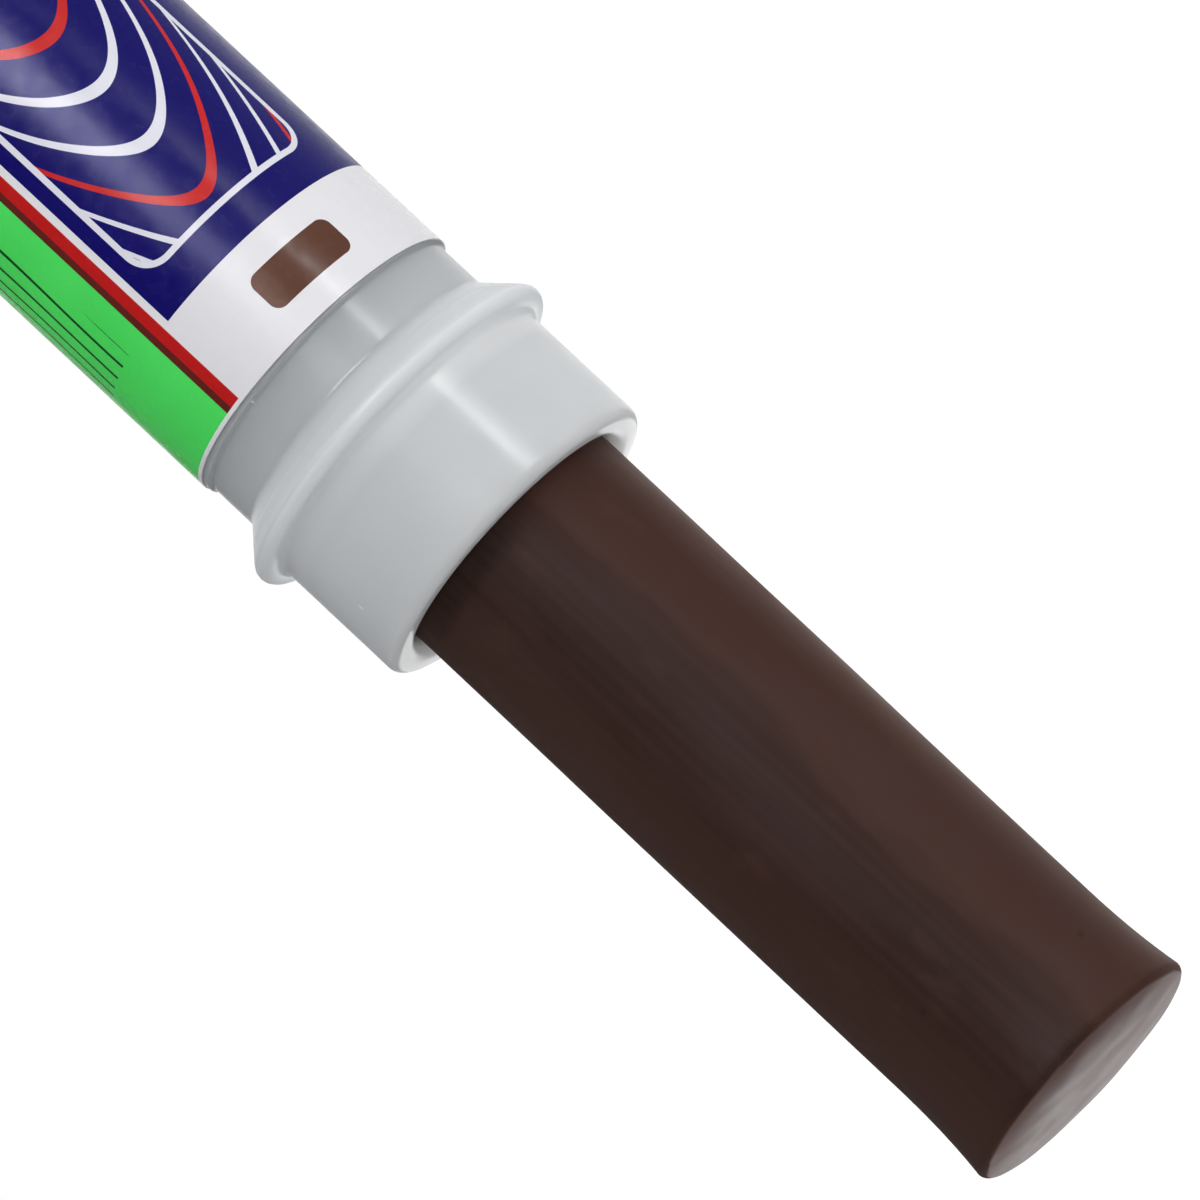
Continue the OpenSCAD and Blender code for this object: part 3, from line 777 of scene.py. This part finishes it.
def printed_film():
    """Blue and green panels with stripes between them, a white end band, and a wood figure."""
    finish, tree, shader = new_finish("printed_label_film", roughness=0.2, specular=0.08)
    sheet = add_node(tree, "ShaderNodeUVMap", uv_map="sheet").outputs[0]
    sheet = add_node(tree, "ShaderNodeSeparateXYZ", {0: sheet}).outputs
    across = times(tree, maths(tree, "SUBTRACT", sheet["X"], FRONT_LINE), SHEET_UNIT)
    down = times(tree, sheet["Y"], SHEET_UNIT)
    drift = stretched_noise(tree, 110, stretch=(1, 1, 0.4), detail=0.0, seed=6.0)
    tone = stretched_noise(tree, 60, detail=2.0, seed=7.0)

    # nested arches, like the figure on a sawn board, in a framed window on the blue panel
    aside = maths(tree, "DIVIDE", maths(tree, "SUBTRACT", across, ARCH_X), ARCH_PITCH)
    arch = maths(tree, "MULTIPLY_ADD", drift, ARCH_DRIFT, maths(tree, "DIVIDE", down, ARCH_PITCH))
    arch = maths(tree, "SUBTRACT", arch, times(tree, aside, aside))
    red = maths(tree, "LESS_THAN", maths(tree, "FLOORED_MODULO", arch, RED_EVERY), 1.0)
    arch = maths(tree, "LESS_THAN", maths(tree, "FRACT", arch), ARCH_LINE_SHARE)
    window = rounded_box(tree, across, down, WINDOW_AT, (WINDOW_W, WINDOW_L), WINDOW_ROUND)
    frame_line = rounded_box(tree, across, down, WINDOW_AT, (WINDOW_W + 2 * FRAME_T,
                             WINDOW_L + 2 * FRAME_T), WINDOW_ROUND + FRAME_T)
    frame_line = maths(tree, "SUBTRACT", frame_line, window)
    figure = times(tree, arch, window)

    # fine dark grain on the green panel
    grain = maths(tree, "MULTIPLY_ADD", drift, GRAIN_DRIFT, maths(tree, "DIVIDE", across, GRAIN_PITCH))
    grain = maths(tree, "LESS_THAN", maths(tree, "FRACT", grain), GRAIN_LINE_SHARE)
    field = times(tree, between(tree, across, *FIELD_ACROSS), between(tree, down, *FIELD_DOWN))
    grain = times(tree, grain, field)

    # a colour chip in the white band
    chip = rounded_box(tree, across, down, CHIP_AT, CHIP_SIZE, CHIP_ROUND)

    colour = mixed(tree, ranged(tree, tone, 0.3, 0.7), BLUE, BLUE_PALE)
    colour = mixed(tree, figure, colour, mixed(tree, red, LINE_WHITE, LINE_RED))
    colour = mixed(tree, frame_line, colour, LINE_WHITE)
    colour = mixed(tree, maths(tree, "LESS_THAN", down, BAND_L), colour, LABEL_WHITE)
    colour = mixed(tree, chip, colour, CHIP_BROWN)
    for start, shade in STRIPES:
        colour = mixed(tree, maths(tree, "GREATER_THAN", across, start), colour, shade)
    green = mixed(tree, ranged(tree, tone, 0.3, 0.7), GREEN, GREEN_PALE)
    green = mixed(tree, grain, green, GRAIN_DARK)
    colour = mixed(tree, maths(tree, "GREATER_THAN", across, GREEN_FROM), colour, green)
    colour = mixed(tree, maths(tree, "LESS_THAN", down, TOP_LINE), colour, LABEL_WHITE)
    tree.links.new(colour, shader.inputs["Base Color"])

    peel = stretched_noise(tree, 900, detail=1.0, seed=8.0)
    sparkle = stretched_noise(tree, 5600, detail=2.0, seed=9.0)
    tree.links.new(ranged(tree, peel, 0.3, 0.7, 0.2, 0.3), shader.inputs["Roughness"])
    bumped(tree, shader, maths(tree, "MULTIPLY_ADD", sparkle, 0.2, peel), strength=0.06, depth=0.03)
    return finish


def bare_paper():
    """The white cut edge and the glued back of the label."""
    finish, tree, shader = new_finish("label_paper_edge", roughness=0.7, specular=0.3)
    fibre = stretched_noise(tree, 2600, detail=4.0, seed=10.0)
    colour = mixed(tree, ranged(tree, fibre, 0.3, 0.7), ink(214, 213, 210), ink(240, 240, 238))
    tree.links.new(colour, shader.inputs["Base Color"])
    bumped(tree, shader, fibre, strength=0.2, depth=0.02)
    return finish


film, paper = printed_film(), bare_paper()
print(film.name, len(film.node_tree.nodes), "nodes")

# %% Label
PAPER_T, OVERLAP, CLIMB, SKEW, COLUMNS, ROWS = 0.13, 4.0, 2.0, 0.25, 260, 30

label_in_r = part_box("label")[1].x / MM - PAPER_T
sheet_r = label_in_r + PAPER_T
half_sheet = math.pi * sheet_r + OVERLAP / 2
sheet_l = label_top - label_foot


def sheet_point(across, down, outer):
    """Where a point of the flat sheet lies once it is rolled, in mm."""
    climb = (across - half_sheet + OVERLAP + CLIMB) / CLIMB
    climb = min(1.0, max(0.0, climb))
    r = label_in_r + PAPER_T * (climb * climb * (3 - 2 * climb) + outer)
    angle = across / sheet_r - math.pi / 2
    return r * math.cos(angle), r * math.sin(angle), label_top - SKEW * math.cos(angle) - down


verts, places = [], []
for outer in (1, 0):
    for row in range(ROWS + 1):
        for column in range(COLUMNS + 1):
            across = -half_sheet + 2 * half_sheet * column / COLUMNS
            down = sheet_l * row / ROWS
            verts.append(tuple(v * MM for v in sheet_point(across, down, outer)))
            places.append((FRONT_LINE + across / SHEET_UNIT, down / SHEET_UNIT))

width, layer = COLUMNS + 1, (COLUMNS + 1) * (ROWS + 1)
front, edges = [], []
for row in range(ROWS):
    for column in range(COLUMNS):
        a = row * width + column
        front.append((a, a + width, a + width + 1, a + 1))
        edges.append(tuple(layer + k for k in (a, a + 1, a + width + 1, a + width)))
rim = [(0, c) for c in range(COLUMNS)] + [(r, COLUMNS) for r in range(ROWS)]
rim += [(ROWS, c) for c in range(COLUMNS, 0, -1)] + [(r, 0) for r in range(ROWS, 0, -1)]
rim = [r * width + c for r, c in rim]
for a, b in zip(rim, rim[1:] + rim[:1]):
    edges.append((a, b, b + layer, a + layer))

label = mesh_object("printed_label", verts, front + edges)
label_mesh = label.data
sheet_map = label_mesh.uv_layers.new(name="sheet")
for loop in label_mesh.loops:
    sheet_map.data[loop.index].uv = places[loop.vertex_index]
for finish in (film, paper):
    label_mesh.materials.append(finish)
for polygon in label_mesh.polygons:
    polygon.material_index = 0 if polygon.index < len(front) else 1
label_mesh.shade_smooth()
label_mesh.set_sharp_from_angle(angle=EDGE_ANGLE)
print(f"label: {2 * half_sheet:.1f} x {sheet_l:.1f} mm, {volume_cm3(label_mesh):.3f} cm3")

# %% [markdown]
# ## The hidden cup and screw
# The cup that holds the wax and the screw that lifts it are inside the barrel. Their CAD solids already
# have the right shape, so they stay, and only get a finish: natural moulded plastic, slightly mottled,
# with fine lines round it.

# %% Natural plastic
def natural_plastic():
    finish, tree, shader = new_finish("natural_inner_plastic", roughness=0.45, specular=0.4)
    cloud = stretched_noise(tree, 240, detail=3.0, seed=11.0)
    lines = stretched_noise(tree, 700, stretch=(0.3, 0.3, 5), detail=3.0, seed=12.0)
    colour = mixed(tree, ranged(tree, cloud, 0.3, 0.7), ink(222, 221, 214), ink(236, 235, 230))
    colour = mixed(tree, ranged(tree, lines, 0.5, 0.8, 0.0, 0.3), colour, ink(206, 205, 197))
    tree.links.new(colour, shader.inputs["Base Color"])
    tree.links.new(ranged(tree, cloud, 0.3, 0.7, 0.38, 0.55), shader.inputs["Roughness"])
    bumped(tree, shader, lines, strength=0.15, depth=0.03)
    return finish


inner_finish = natural_plastic()
for node in ("carrier", "lead_screw"):
    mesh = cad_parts[node].data
    mesh.materials.clear()
    mesh.materials.append(inner_finish)
print("inner plastic on the carrier and the lead screw")

# %% [markdown]
# ## Each piece joins its body
# The CAD knows three bodies: the barrel with its label, the knob with its screw, and the wax with its
# cup. Each new mesh rides on one of them and stands for one CAD node.

# %% Ride and replace
for piece, body, node, slot in ((barrel, "barrel_body", "barrel", "barrel_plastic"),
                                (label, "barrel_body", "label", "label_paper"),
                                (knob, "knob_body", "twist_knob", "barrel_plastic"),
                                (wax, "stick_body", "wax_stick", "filler_wax")):
    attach(piece, body)
    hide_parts(node)
    print(piece.name, "rides on", body)

# %% [markdown]
# ## Floor and light
# The photo has a plain white ground and soft light from the barrel's left. The floor is a wide pale
# sheet. A lamp strong enough to keep it white would wash out the stick, so that lamp is linked to the
# floor alone, and a weaker one in the same place lights everything. A white sky fills the shadows, a
# panel at the left and a wide fill in front model the round forms, and a panel behind shows as sheen on
# the wax's end face. Upright walls seen from above mirror the floor in front of them, so slim strips
# lying there give the label, neck and collar their glints. The strips show in reflections only. A dark
# card at the right keeps the far side of the round forms from washing out.

# %% Floor
FLOOR_SIZE = 12.0


def stage_sheet(name, corners, roughness, cells, shades):
    """A flat sheet with four corners and a dull, faintly mottled finish between two shades."""
    sheet = mesh_object(name, corners, [(0, 1, 2, 3)])
    finish, tree, shader = new_finish(name, roughness, specular=0.1)
    mottle = stretched_noise(tree, cells, detail=2.0)
    tree.links.new(mixed(tree, mottle, *shades), shader.inputs["Base Color"])
    sheet.data.materials.append(finish)
    return sheet


half = FLOOR_SIZE / 2
floor = stage_sheet("pale_floor", [(-half, -half, 0), (half, -half, 0), (half, half, 0),
                                   (-half, half, 0)],
                    roughness=0.8, cells=3, shades=(ink(246, 246, 246), ink(250, 250, 250)))
print("floor:", FLOOR_SIZE, "m square")

# %% Lights
def lamp(name, place, facing, along, size, power, only_gloss=False):
    """A soft light. Size is its width and its length, and the length lies along the given direction.
    The camera doesn't see it, and with only_gloss it shows in reflections but lights nothing."""
    light = bpy.data.lights.new(name, "AREA")
    light.shape, light.energy = "RECTANGLE", power
    light.size, light.size_y = size
    holder = new_object(name, light)
    back = -Vector(facing).normalized()
    length_way = Vector(along) - back * back.dot(Vector(along))
    length_way.normalize()
    turn = Matrix((length_way.cross(back), length_way, back)).transposed()
    holder.matrix_world = Matrix.Translation(place) @ turn.to_4x4()
    holder.visible_camera = False
    holder.visible_diffuse = not only_gloss
    print(f"{name}: {power} W, {size[0]} x {size[1]} m")
    return holder


SKY_WHITE, SKY_STRENGTH = (1.0, 1.0, 1.0, 1.0), 0.25
UP, DOWN, BACKWARDS = (0, 0, 1), (0, 0, -1), (0, 1, 0)
OVER_STICK, OVER_SIZE = (0.0, 0.6, 2.2), (2.6, 2.6)

scene = bpy.context.scene
scene.world = bpy.data.worlds.new("white_sky")
scene.world.use_nodes = True
sky = scene.world.node_tree.nodes["Background"]
sky.inputs["Color"].default_value = SKY_WHITE
sky.inputs["Strength"].default_value = SKY_STRENGTH
scene.view_settings.view_transform = "Standard"

# places and sizes in metres, power in watts
floor_lamp = lamp("floor_lamp", OVER_STICK, DOWN, BACKWARDS, OVER_SIZE, 48)
floor_lamp.light_linking.receiver_collection = bpy.data.collections.new("lit_by_floor_lamp")
floor_lamp.light_linking.receiver_collection.objects.link(floor)
lamp("overhead", OVER_STICK, DOWN, BACKWARDS, OVER_SIZE, 24)
lamp("left_panel", (-0.75, -0.25, 0.25), (0.75, 0.25, -0.16), UP, (0.5, 0.6), 1.35)
lamp("back_panel", (0.0, 1.4, 0.34), (0, -1.4, -0.2), UP, (0.5, 0.375), 1.1)
lamp("front_fill", (0.12, -0.9, 0.25), (-0.12, 0.9, -0.16), UP, (0.7, 0.4), 3.05)
lamp("label_glint", (-0.009, -0.165, 0.001), UP, (0.05, 1, 0), (0.07, 0.17), 1.5, only_gloss=True)
lamp("collar_glint", (-0.33, -0.306, 0.001), UP, (1, 0, 0), (0.016, 0.14), 1.9, only_gloss=True)
lamp("neck_glint", (-0.247, -0.275, 0.001), UP, (0.67, 0.74, 0), (0.016, 0.05), 0.8, only_gloss=True)

# %% A dark card
CARD_X, CARD_FRONT, CARD_BACK, CARD_H = 0.1, -0.6, 0.55, 0.4

card = stage_sheet("dark_card", [(CARD_X, CARD_FRONT, CARD_H), (CARD_X, CARD_BACK, CARD_H),
                                 (CARD_X, CARD_BACK, 0), (CARD_X, CARD_FRONT, 0)],
                   roughness=0.9, cells=30, shades=(ink(150, 150, 152), ink(158, 158, 160)))
card.visible_camera = card.visible_shadow = False
print("dark card at the right,", CARD_H, "m tall")

# %% [markdown]
# ## Camera
# The photo is a close view with a long lens: the stick points to the lower right, and its tip leans
# towards the camera so that its end face just shows. The camera's axes are built from two angles, the
# tilt towards the tip and the roll of the picture. Its place then follows from one fixed point: the
# centre of the barrel's mouth, and where that falls in a picture of 1200 x 1200.

# %% Camera
PICTURE, LENS, SENSOR = 1200.0, 600.0, 36.0
TILT, ROLL = math.radians(11.5), math.radians(43.0)
MOUTH_AT, PIXELS_PER_MM = (518.2, 545.5), 13.66

focal = LENS / SENSOR * PICTURE
away = focal / PIXELS_PER_MM
forward = Vector((0, math.cos(TILT), -math.sin(TILT)))
up_stick = Vector((0, math.sin(TILT), math.cos(TILT)))
aside = Vector((1, 0, 0))
right = up_stick * math.cos(ROLL) - aside * math.sin(ROLL)
downward = up_stick * math.sin(ROLL) + aside * math.cos(ROLL)
mouth = Vector((0, 0, rim_z))
offset = [(at - PICTURE / 2) / focal * away for at in MOUTH_AT]
eye = (mouth - forward * away - right * offset[0] - downward * offset[1]) * MM

camera_data = bpy.data.cameras.new("photo_camera")
camera_data.lens, camera_data.sensor_width = LENS, SENSOR
camera_data.clip_start, camera_data.clip_end = 0.05, 60.0
camera = new_object("photo_camera", camera_data)
camera.matrix_world = Matrix.Translation(eye) @ Matrix(
    (right, -downward, -forward)).transposed().to_4x4()
scene.camera = camera
print("camera at", [round(v, 3) for v in eye], "m")
